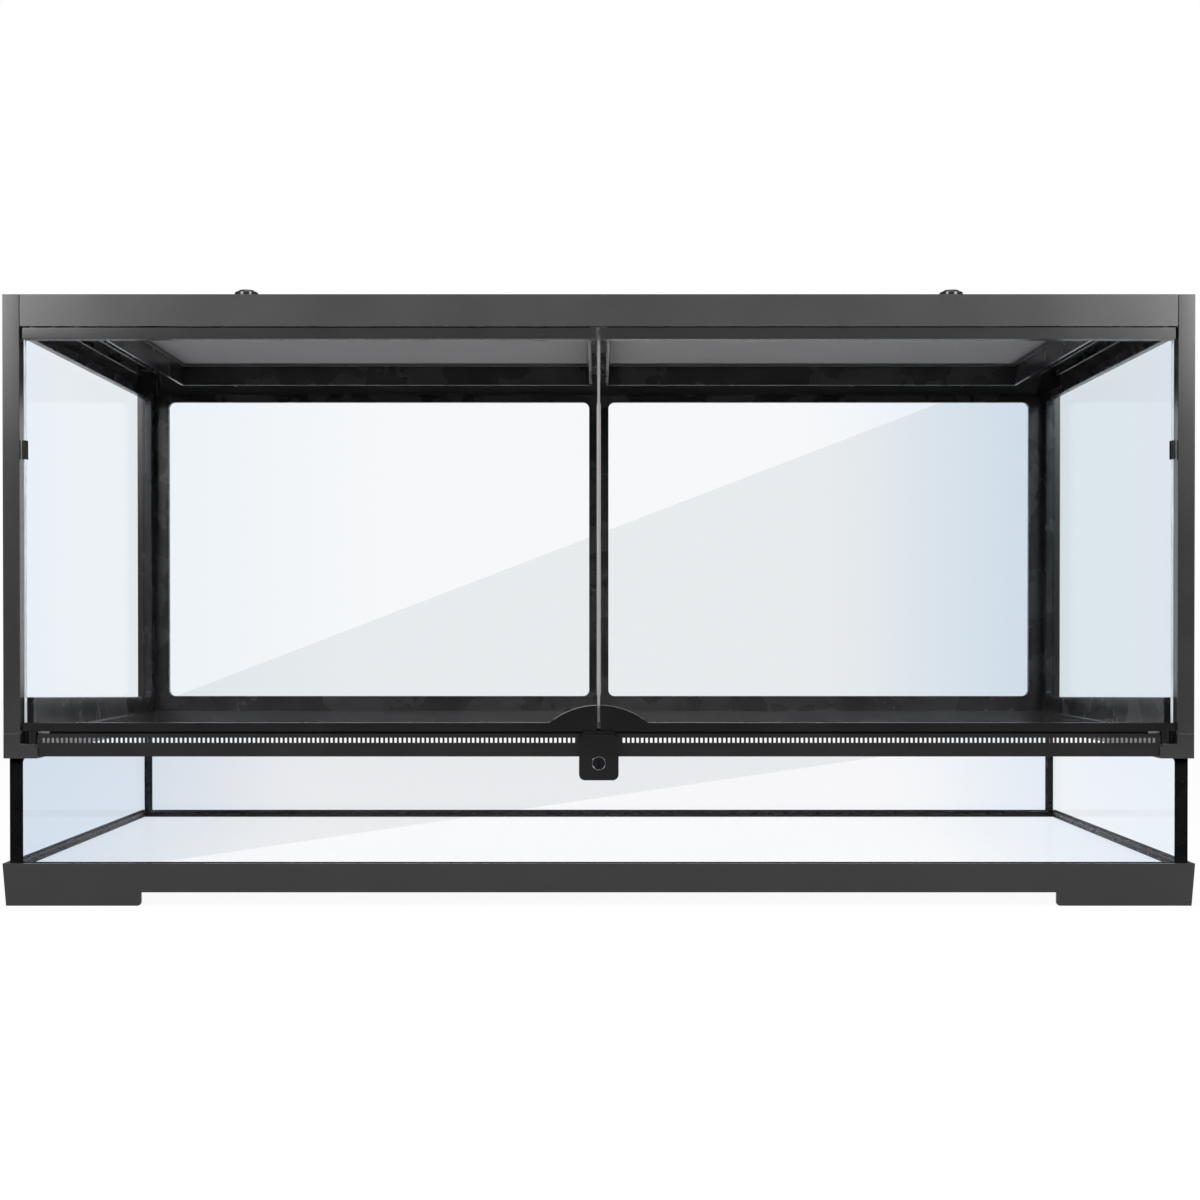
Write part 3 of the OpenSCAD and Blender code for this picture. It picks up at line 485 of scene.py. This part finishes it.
# Back windows: pale, with painted shade under one slanting line that runs over both, and a painted
# blue sheen at the ends.
SHEEN = ShineLine((-0.53, 0.2), (0.45, 0.576), "#f0f2f2")
BACK_GLASS = {
    Side.LEFT: FloatGlass("back_left_float_glass", "#f9fafc", "#f0f5fa", line=SHEEN).material(),
    Side.RIGHT: FloatGlass("back_right_float_glass", "#f9fafc", "#dfebf8", line=SHEEN).material()}
# Door panes: nearly colourless.
DOOR_GLASS = FloatGlass("door_float_glass", "#fcfdfd", "#fbfcfd").material()
# Seal between the doors: it catches the light, so it shows as one pale line.
DOOR_SEAL = ClearPlastic().material()
# Edges of the door panes: pale, so that the outline of each pane can be read.
GLASS_EDGE = GroundEdge().material()
# Sealant of the tank: near black, with a wet gleam.
SEALANT = Silicone().material()
# Hinge pins and bolt: bare steel. Ring round the keyway: dark, but brighter than the key.
PIN_STEEL = Metal("drawn_steel", "#b7b7ba", 0.25).material()
RING_METAL = Metal("black_nickel", "#77767a", 0.12, 0.5, (1, 1, 1)).material()
LOCK_METAL = Metal("black_plated_zinc", "#2a2a2d", 0.24, 0.5, (1, 0.05, 1)).material()
# Net of the screens: painted dull grey for the light through and on it, so that it reads as one
# even veil from afar.
NET_WIRE = CoatedWire().material()


# ---------------------------------------------------------------- modelling


def select_only(piece: bpy.types.Object) -> None:
    """Deselects everything, then selects and activates one piece."""
    bpy.ops.object.select_all(action="DESELECT")
    piece.select_set(True)
    bpy.context.view_layer.objects.active = piece


def apply_modifier(piece: bpy.types.Object, kind: str, **settings: object) -> None:
    """Adds a modifier with its settings and applies it.

    Args:
        piece: Object that gets the modifier.
        kind: Blender's name of the modifier type.
        settings: The modifier's properties.
    """
    select_only(piece)
    modifier = piece.modifiers.new(kind.lower(), kind)
    for key, value in settings.items():
        setattr(modifier, key, value)
    bpy.ops.object.modifier_apply(modifier=modifier.name)


def round_edges(piece: bpy.types.Object, radius_mm: float, segments: int = 2) -> None:
    """Rounds a piece's sharp edges and keeps its flat faces flat.

    Args:
        piece: Object to round.
        radius_mm: Width of the rounding, in millimetres.
        segments: Faces across each rounding.
    """
    apply_modifier(piece, "BEVEL", width=radius_mm * MM, segments=segments,
                   limit_method="ANGLE", angle_limit=radians(SHARP_DEG))
    select_only(piece)
    bpy.ops.object.shade_smooth_by_angle(angle=radians(SMOOTH_DEG))
    apply_modifier(piece, "WEIGHTED_NORMAL", keep_sharp=True)


def merged_copy(node: str, name: str) -> bpy.types.Object:
    """Copies a CAD node's mesh, merges its loose triangles and clears its flat edges.

    Args:
        node: Name of the CAD node.
        name: Name of the new piece.

    Returns:
        The copy, with its own mesh.
    """
    piece = bpy.data.objects.new(name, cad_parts[node].data.copy())
    bpy.context.scene.collection.objects.link(piece)
    piece.data.materials.clear()
    select_only(piece)
    bpy.ops.mesh.customdata_custom_splitnormals_clear()
    bpy.ops.object.mode_set(mode="EDIT")
    bpy.ops.mesh.select_all(action="SELECT")
    bpy.ops.mesh.remove_doubles(threshold=MERGE_MM * MM)
    bpy.ops.mesh.dissolve_limited(angle_limit=radians(FLAT_DEG))
    bpy.ops.object.mode_set(mode="OBJECT")
    return piece


def dress(piece: bpy.types.Object, body: str, slot: str, material: bpy.types.Material,
          *nodes: str) -> bpy.types.Object:
    """Finishes a piece: its material, its body and the nodes it stands for.

    Args:
        piece: Finished mesh object.
        body: CAD body that it rides on.
        slot: Material slot of the record; not used.
        material: Its main material.
        nodes: CAD nodes that it replaces.

    Returns:
        The piece.
    """
    if not piece.data.materials:
        piece.data.materials.append(material)
    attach(piece, body)
    if nodes:
        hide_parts(*nodes)
    log.info("%s: %d faces on body %s", piece.name, len(piece.data.polygons), body)
    return piece


def mould(node: str, body: str, slot: str, material: bpy.types.Material,
          radius_mm: float = 0.6, segments: int = 2) -> bpy.types.Object:
    """Makes the finished moulding of a CAD node: a merged copy with rounded edges.

    Args:
        node: Name of the CAD node.
        body: CAD body that it rides on.
        slot: Material slot of the record.
        material: Material of the moulding.
        radius_mm: Width of the edge rounding, in millimetres.
        segments: Faces across each rounding.

    Returns:
        The finished piece.
    """
    piece = merged_copy(node, f"{node}_moulding")
    round_edges(piece, radius_mm, segments)
    return dress(piece, body, slot, material, node)


def paint_highlight_edges(piece: bpy.types.Object, depth_mm: float) -> None:
    """Paints the roundings that look up and to the front, near a piece's top, with a painted
    highlight.

    Args:
        piece: Moulding to paint.
        depth_mm: How far under the piece's highest point the painted highlight reaches.
    """
    piece.data.materials.append(PAINTED_HIGHLIGHT)
    highlight_slot = len(piece.data.materials) - 1
    low_end = max(vertex.co.z for vertex in piece.data.vertices) - depth_mm * MM
    for face in piece.data.polygons:
        leans = face.normal.z > HIGHLIGHT_UP and face.normal.y < HIGHLIGHT_FORWARD
        if face.center.z > low_end and leans:
            face.material_index = highlight_slot


def repaint(node: str, material: bpy.types.Material) -> None:
    """Gives a CAD node that stays as it is a better material."""
    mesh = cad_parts[node].data
    mesh.materials.clear()
    mesh.materials.append(material)
    log.info("%s: kept, painted with %s", node, material.name)


# ---------------------------------------------------------------- sub-assemblies


@dataclass
class Tank:
    """The moulded base, the five low panes and the sealant between them."""

    body: str = "cage"
    base_edge_mm: float = 0.9

    def build(self) -> None:
        """Dresses the base, the panes and the sealant."""
        mould("base_frame", self.body, "moulded_plastic", BASE, self.base_edge_mm)
        repaint("floor_glass", FLOOR_GLASS)
        repaint("tank_front_glass", FRONT_GLASS)
        repaint("tank_back_glass", TANK_GLASS)
        for side in Side:
            repaint(f"tank_{side.word}_glass", SHORT_GLASS[side])
        repaint("tank_seals", SEALANT)


@dataclass
class AirStrip:
    """The mid frame, the slotted strip in front and its two corner brackets."""

    body: str = "cage"
    frame_edge_mm: float = 0.6
    slot_edge_mm: float = 0.3

    def build(self) -> None:
        """Dresses the mid frame, the strip and the brackets."""
        mould("mid_frame", self.body, "moulded_plastic", DEEP_SATIN, self.frame_edge_mm)
        mould("vent_strip", self.body, "dark_plastic", POLISHED, self.slot_edge_mm, 1)
        mould("sill_rib", self.body, "dark_plastic", POLISHED, self.slot_edge_mm, 1)
        for side in Side:
            mould(f"{side.word}_bracket", self.body, "moulded_plastic", DEEP_SATIN,
                  self.frame_edge_mm)


@dataclass
class Cage:
    """Posts, window frames and fixed panes above the tank."""

    body: str = "cage"
    post_edge_mm: float = 0.8
    window_edge_mm: float = 1.0

    def build(self) -> None:
        """Dresses the posts, the window frames and the fixed panes."""
        for side in Side:
            for end in ("front", "rear"):
                mould(f"{end}_{side.word}_post", self.body, "moulded_plastic", DEEP_SATIN,
                      self.post_edge_mm)
            mould(f"{side.word}_window_frame", self.body, "dark_plastic", INNER_PAINTED_SHADE,
                  self.window_edge_mm)
            repaint(f"{side.word}_window_glass", SIDE_GLASS[side])
            repaint(f"back_{side.word}_glass", BACK_GLASS[side])
        mould("back_window_frame", self.body, "dark_plastic", INNER_PAINTED_SHADE, self.window_edge_mm)
        repaint("hinge_pins", PIN_STEEL)


@dataclass
class Door:
    """One hinged door: its pane with polished edges, two strips and a spacer clip."""

    side: Side
    strip_edge_mm: float = 0.9
    foot_edge_mm: float = 1.3
    arch_mm: float = 14.0
    clip_edge_mm: float = 0.25
    seal_edge_mm: float = 0.2
    pencil_mm: float = 1.9
    arris_mm: float = 0.4
    flat_from: float = 0.999
    arris_from: float = 0.3

    @property
    def body(self) -> str:
        """CAD body of this door."""
        return f"{self.side.word}_door"

    def build(self) -> None:
        """Builds the pane and dresses the strips and the clip."""
        word = self.side.word
        self.pane()
        mould(f"{word}_door_top_strip", self.body, "moulded_plastic", DEEP_SATIN,
              self.strip_edge_mm)
        foot = mould(f"{word}_door_foot_strip", self.body, "dark_plastic", DEEP_BLACK,
                     self.foot_edge_mm, 3)
        # Painted highlight on the upper rounding of the finger arch.
        paint_highlight_edges(foot, self.arch_mm)
        mould(f"{word}_door_clip", self.body, "dark_plastic", DEEP_BLACK, self.clip_edge_mm)
        if self.side is Side.LEFT:
            mould("door_seal", self.body, "clear_seal", DOOR_SEAL, self.seal_edge_mm, 1)

    def pane(self) -> bpy.types.Object:
        """Models the pane: a sheet with ground sides, and a round one next to its hinge.

        The narrow arrises of the side that meets the other door stay clear, so that only
        the seal shows as a pale line.

        Returns:
            The pane.
        """
        node = f"{self.side.word}_door_glass"
        low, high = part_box(node)
        bpy.ops.object.select_all(action="DESELECT")
        bpy.ops.mesh.primitive_cube_add(size=1, location=(low + high) / 2)
        piece = bpy.context.active_object
        piece.name = f"{node}_pane"
        piece.scale = high - low
        bpy.ops.object.transform_apply(location=True, rotation=True, scale=True)
        hinge_x = low.x if self.side is Side.LEFT else high.x
        weights = piece.data.attributes.new("bevel_weight_edge", "FLOAT", "EDGE")
        for edge in piece.data.edges:
            ends = [piece.data.vertices[number].co.x for number in edge.vertices]
            by_hinge = all(abs(end - hinge_x) < MM for end in ends)
            weights.data[edge.index].value = 1.0 if by_hinge else self.arris_mm / self.pencil_mm
        apply_modifier(piece, "BEVEL", width=self.pencil_mm * MM, segments=3,
                       limit_method="WEIGHT")
        finishes = [DOOR_GLASS, GLASS_EDGE]
        for finish in finishes:
            piece.data.materials.append(finish)
        free_x = high.x if self.side is Side.LEFT else low.x
        for face in piece.data.polygons:
            ahead = abs(face.normal.y)
            free_arris = abs(face.center.x - free_x) < MM and ahead > self.arris_from
            clear = ahead > self.flat_from or free_arris
            face.material_index = finishes.index(DOOR_GLASS if clear else GLASS_EDGE)
        return dress(piece, self.body, "door_glass", DOOR_GLASS, node)


@dataclass
class TopFrame:
    """The tray of the top with its ribs and screen seats: satin outside, grained on its deck,
    painted darker inside as painted shade.
    """

    body: str = "cage"
    edge_mm: float = 0.8
    rim_mm: float = 12.0
    under_to: float = 0.5
    deck_from: float = 0.9

    def build(self) -> None:
        """Dresses the top frame, paints its deck, and paints the faces that look into the cage
        darker as painted shade.
        """
        piece = mould("top_frame", self.body, "moulded_plastic", SATIN, self.edge_mm)
        finishes = [SATIN, INNER_PAINTED_SHADE, DECK]
        for finish in finishes[1:]:
            piece.data.materials.append(finish)
        low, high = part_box("top_frame")
        rim = self.rim_mm * MM
        for face in piece.data.polygons:
            place = face.center
            inside = abs(place.x) < high.x - rim and low.y + rim < place.y < high.y - rim
            # Faces that look into the cage get the darker copy: painted shade.
            finish = INNER_PAINTED_SHADE if inside and face.normal.z < self.under_to else SATIN
            if face.normal.z > self.deck_from:
                finish = DECK
            face.material_index = finishes.index(finish)


@dataclass
class Screen:
    """One lift-out screen: a moulded frame and a welded net of coated wire."""

    side: Side
    pitch_mm: float = 3.0
    wire_mm: float = 0.8
    wire_sides: int = 6
    wire_smooth_deg: float = 70.0
    weld_share: float = 0.8
    frame_edge_mm: float = 0.5

    @property
    def body(self) -> str:
        """CAD body of this screen."""
        return f"{self.side.word}_screen"

    def build(self) -> None:
        """Dresses the frame and makes the net."""
        mould(f"{self.body}_frame", self.body, "moulded_plastic", DECK, self.frame_edge_mm)
        node = f"{self.body}_net"
        low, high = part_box(node)
        runs = [self.wires(low, high, axis) for axis in (0, 1)]
        select_only(runs[0])
        runs[1].select_set(True)
        bpy.ops.object.join()
        net = bpy.context.active_object
        net.name = f"{node}_wires"
        bpy.ops.object.shade_smooth_by_angle(angle=radians(self.wire_smooth_deg))
        dress(net, self.body, "net_wire", NET_WIRE, node)

    def wires(self, low: Vector, high: Vector, axis: int) -> bpy.types.Object:
        """Makes all the wires that run along one axis.

        Args:
            low: Lowest corner of the net.
            high: Highest corner of the net.
            axis: 0 for wires along X, 1 for wires along Y.

        Returns:
            One object that holds the wires.
        """
        across = 1 - axis
        radius = self.wire_mm * MM / 2
        level = (low.z + high.z) / 2 + (radius if axis else -radius) * self.weld_share
        count = int((high[across] - low[across]) / (self.pitch_mm * MM))
        start = (low[across] + high[across] - (count - 1) * self.pitch_mm * MM) / 2
        centre = [0.0, 0.0, level]
        centre[axis] = (low[axis] + high[axis]) / 2
        centre[across] = start
        bpy.ops.object.select_all(action="DESELECT")
        bpy.ops.mesh.primitive_cylinder_add(
            vertices=self.wire_sides, radius=radius, depth=high[axis] - low[axis], location=centre,
            rotation=(0, pi / 2, 0) if axis == 0 else (pi / 2, 0, 0))
        piece = bpy.context.active_object
        bpy.ops.object.transform_apply(location=True, rotation=True, scale=True)
        step = [0.0, 0.0, 0.0]
        step[across] = self.pitch_mm * MM
        apply_modifier(piece, "ARRAY", count=count, use_relative_offset=False,
                       use_constant_offset=True, constant_offset_displace=step)
        return piece


@dataclass
class Lock:
    """The lock in the middle of the air strip: body, key cylinder and bolt."""

    body_edge_mm: float = 1.1
    cylinder_edge_mm: float = 0.35
    bolt_edge_mm: float = 0.4
    ring_mm: float = 0.65

    def build(self) -> None:
        """Dresses the lock's body, cylinder and bolt, and adds the ring round the keyway."""
        mould("lock_housing", "cage", "dark_plastic", DEEP_BLACK, self.body_edge_mm, 3)
        mould("lock_cylinder", "key_cylinder", "lock_steel", LOCK_METAL, self.cylinder_edge_mm)
        mould("lock_bolt", "bolt", "pin_steel", PIN_STEEL, self.bolt_edge_mm)
        low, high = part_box("lock_cylinder")
        centre = Vector(((low.x + high.x) / 2, low.y, high.z - (high.x - low.x) / 2))
        bpy.ops.object.select_all(action="DESELECT")
        bpy.ops.mesh.primitive_torus_add(
            location=centre, rotation=(pi / 2, 0, 0), major_segments=48, minor_segments=12,
            major_radius=(high.x - low.x) / 2 - self.ring_mm * MM, minor_radius=self.ring_mm * MM)
        ring = bpy.context.active_object
        ring.name = "keyway_ring"
        bpy.ops.object.transform_apply(location=True, rotation=True, scale=True)
        bpy.ops.object.shade_smooth()
        dress(ring, "key_cylinder", "lock_steel", RING_METAL)


@dataclass
class DeckFittings:
    """Screen knobs and cable shutters on the top."""

    edge_mm: float = 0.5

    def build(self) -> None:
        """Dresses the two knobs and the two shutters."""
        for side in Side:
            mould(f"{side.word}_screen_knob", f"{side.word}_knob", "dark_plastic", DEEP_SATIN,
                  self.edge_mm)
            mould(f"{side.word}_inlet_shutter", f"{side.word}_shutter", "dark_plastic", POLISHED,
                  self.edge_mm)


# ---------------------------------------------------------------- studio


@dataclass(frozen=True)
class Softbox:
    """Square soft lamp that looks at a point. Its size is the side of the box in metres."""

    name: str
    place: tuple[float, float, float]
    aim: tuple[float, float, float]
    size: float
    watts: float

    def hang(self) -> None:
        """Adds the lamp to the scene, turned to the point that it lights."""
        data = bpy.data.lights.new(self.name, "AREA")
        data.size = self.size
        data.energy = self.watts
        lamp = bpy.data.objects.new(self.name, data)
        bpy.context.scene.collection.objects.link(lamp)
        lamp.location = self.place
        ray = Vector(self.aim) - Vector(self.place)
        lamp.rotation_euler = ray.to_track_quat("-Z", "Y").to_euler()


@dataclass
class Studio:
    """Camera, lamps, floor and the white around the object."""

    image_px: float = 1200.0
    focal_px: float = 1974.5
    sensor_mm: float = 36.0
    eye: tuple[float, float, float] = (0.0, -2.2785, 0.2766)
    tilt_down_deg: float = 0.5
    frame_shift_px: tuple[float, float] = (1.2, 48.5)
    floor_from: tuple[float, float] = (-4.0, -2.2)
    floor_to: tuple[float, float] = (4.0, 5.8)
    world_level: float = 0.5
    mirror_level: float = 0.18
    shadow_share: float = 0.06
    floor_gap_mm: float = 0.2
    card_gap_mm: float = 0.1
    card_edge_mm: float = 1.0
    paint_colour: str = "#f2f2f2"
    lamps: tuple[Softbox, ...] = (
        Softbox("left_softbox", (-1.6, -2.0, 1.3), (-0.5, -0.2, 0.5), 1.05, 38.0),
        Softbox("right_softbox", (1.6, -2.0, 1.3), (0.5, -0.2, 0.5), 1.05, 38.0),
        Softbox("top_softbox", (0.0, -0.75, 2.4), (0.0, -0.05, 0.3), 1.8, 26.0))

    def build(self) -> None:
        """Sets up everything round the object."""
        self.camera()
        self.world()
        self.floor()
        for lamp in self.lamps:
            lamp.hang()
        bpy.context.scene.view_settings.view_transform = "Standard"

    def camera(self) -> None:
        """Adds the camera in front of the doors, a little above the middle of the doors' foot."""
        data = bpy.data.cameras.new("camera")
        data.sensor_width = self.sensor_mm
        data.lens = self.sensor_mm * self.focal_px / self.image_px
        camera = bpy.data.objects.new("camera", data)
        bpy.context.scene.collection.objects.link(camera)
        camera.location = self.eye
        camera.rotation_euler = (pi / 2 - radians(self.tilt_down_deg), 0, 0)
        data.shift_x, data.shift_y = (shift / self.image_px for shift in self.frame_shift_px)
        bpy.context.scene.camera = camera

    def world(self) -> None:
        """Makes plain soft light all round, and white where it is looked at."""
        world = bpy.data.worlds.new("white_room")
        world.use_nodes = True
        tree = world.node_tree
        tree.nodes.clear()
        rays = add_node(tree, "ShaderNodeLightPath")
        place = add_node(tree, "ShaderNodeTexCoord")
        heading = add_node(tree, "ShaderNodeSeparateXYZ", links={0: place.outputs["Generated"]})
        dim = add_node(tree, "ShaderNodeMapRange",
                       {"To Min": self.world_level, "To Max": self.mirror_level},
                       {"Value": rays.outputs["Is Glossy Ray"]})
        level = add_node(tree, "ShaderNodeMapRange", {"To Max": 1.0},
                         {"Value": self.looked_at(tree, heading.outputs["Y"], False),
                          "To Min": dim.outputs[0]})
        shade = add_node(tree, "ShaderNodeBackground", {"Color": linear("#ffffff")},
                         {"Strength": level.outputs[0]})
        add_node(tree, "ShaderNodeOutputWorld", links={"Surface": shade.outputs[0]})
        bpy.context.scene.world = world

    def looked_at(self, tree: bpy.types.NodeTree, ahead: bpy.types.NodeSocket,
                  mirrored: bool) -> bpy.types.NodeSocket:
        """Tells rays that make a picture from those that only carry light.

        Args:
            tree: Node tree that gets the nodes.
            ahead: Socket that is over 0 behind the object, on the side that it is seen against.
            mirrored: Whether rays from glossy surfaces count as well.

        Returns:
            A socket that is 1 for camera rays, for rays that come through glass without
            a mirroring before it or reach the far side, and for rays from glossy
            surfaces where those count. Rays scattered by a dull surface never count.
        """
        rays = add_node(tree, "ShaderNodeLightPath")

        def join(operation: str, first: object, second: object) -> bpy.types.NodeSocket:
            """Joins two sockets, or a socket and a number, by one sum."""
            values = {number: part for number, part in enumerate((first, second))}
            settings = {key: part for key, part in values.items() if isinstance(part, float)}
            links = {key: part for key, part in values.items() if key not in settings}
            sums = add_node(tree, "ShaderNodeMath", {"operation": operation, **settings}, links)
            return sums.outputs[0]

        unmirrored = join("LESS_THAN", rays.outputs["Glossy Depth"], 0.5)
        clean = join("MAXIMUM", unmirrored, join("GREATER_THAN", ahead, 0.0))
        seen = join("MULTIPLY", rays.outputs["Is Transmission Ray"], clean)
        if mirrored:
            gleam = join("MULTIPLY", rays.outputs["Is Glossy Ray"],
                         rays.outputs["Is Reflection Ray"])
            seen = join("MAXIMUM", seen, gleam)
        undulled = join("LESS_THAN", rays.outputs["Diffuse Depth"], 0.5)
        return join("MAXIMUM", rays.outputs["Is Camera Ray"],
                    join("MULTIPLY", seen, undulled))

    def floor(self) -> None:
        """Lays the white floor, which keeps a soft shadow of the object, and a card.

        The card lies at the underside of the floor pane, so that the pane shows white
        and not the ledge and the inside of the base.
        """
        material = new_material("white_floor")
        tree = material.node_tree
        paint = add_node(tree, "ShaderNodeBsdfDiffuse", {"Color": linear(self.paint_colour)})
        glow = add_node(tree, "ShaderNodeEmission", {"Color": linear("#ffffff"), "Strength": 1.0})
        spot = add_node(tree, "ShaderNodeTexCoord")
        heading = add_node(tree, "ShaderNodeSeparateXYZ", links={0: spot.outputs["Object"]})
        share = add_node(tree, "ShaderNodeMath",
                         {"operation": "MULTIPLY", 1: 1 - self.shadow_share},
                         {0: self.looked_at(tree, heading.outputs["Y"], True)})
        mix = add_node(tree, "ShaderNodeMixShader",
                       links={0: share.outputs[0], 1: paint.outputs[0], 2: glow.outputs[0]})
        add_node(tree, "ShaderNodeOutputMaterial", links={"Surface": mix.outputs[0]})
        low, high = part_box("floor_glass")
        edge = Vector((1, 1, 0)) * self.card_edge_mm * MM
        self.sheet("floor", Vector((*self.floor_from, 0)), Vector((*self.floor_to, 0)),
                   -self.floor_gap_mm * MM, material)
        self.sheet("card", low + edge, high - edge, low.z + self.card_gap_mm * MM, material)

    def sheet(self, name: str, low: Vector, high: Vector, level: float,
              material: bpy.types.Material) -> None:
        """Lays a level sheet of the studio.

        Args:
            name: Name of the sheet.
            low: Corner with the lowest X and Y.
            high: Corner with the highest X and Y.
            level: Height of the sheet.
            material: Its material.
        """
        middle = (low + high) / 2
        bpy.ops.object.select_all(action="DESELECT")
        bpy.ops.mesh.primitive_plane_add(size=1, location=(middle.x, middle.y, level))
        piece = bpy.context.active_object
        piece.name = name
        piece.scale = (*(high - low).xy, 1)
        bpy.ops.object.transform_apply(location=True, rotation=True, scale=True)
        piece.data.materials.append(material)


def main() -> None:
    """Builds the studio and the sub-assemblies in order."""
    Studio().build()
    Tank().build()
    AirStrip().build()
    Cage().build()
    TopFrame().build()
    for side in Side:
        Door(side).build()
        Screen(side).build()
    Lock().build()
    DeckFittings().build()


if __name__ == "__main__":
    main()
